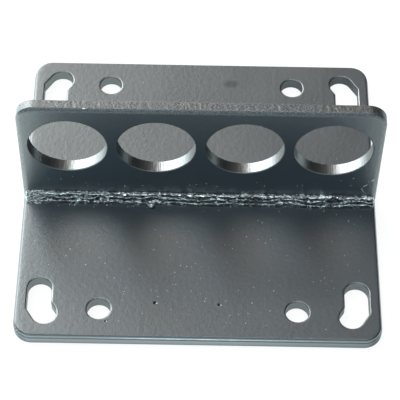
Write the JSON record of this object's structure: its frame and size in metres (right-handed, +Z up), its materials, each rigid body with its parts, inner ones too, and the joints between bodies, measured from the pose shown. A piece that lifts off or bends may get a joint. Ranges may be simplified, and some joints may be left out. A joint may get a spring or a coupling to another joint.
{
  "type": "engine lift plate",
  "caption": "Flat steel base with slotted corners and stud holes, and a welded upright plate with a row of round lifting holes, for hoisting an engine by its carburettor flange.",
  "frame": {"origin": "centre of the base plate's underside", "axes": "+X along the upright and its row of lifting holes, +Y to the rear, +Z up out of the base plate"},
  "size_m": [0.1644, 0.1596, 0.0702],
  "materials": {
    "paint": "semi-gloss blue-grey black paint with a fine orange peel",
    "weld": "thin paint over a rough weld bead, with bright high spots"
  },
  "bodies": {
    "root": {"base_plate": "paint", "lift_plate": "paint", "front_weld": "weld", "rear_weld": "weld"}
  },
  "joints": []
}
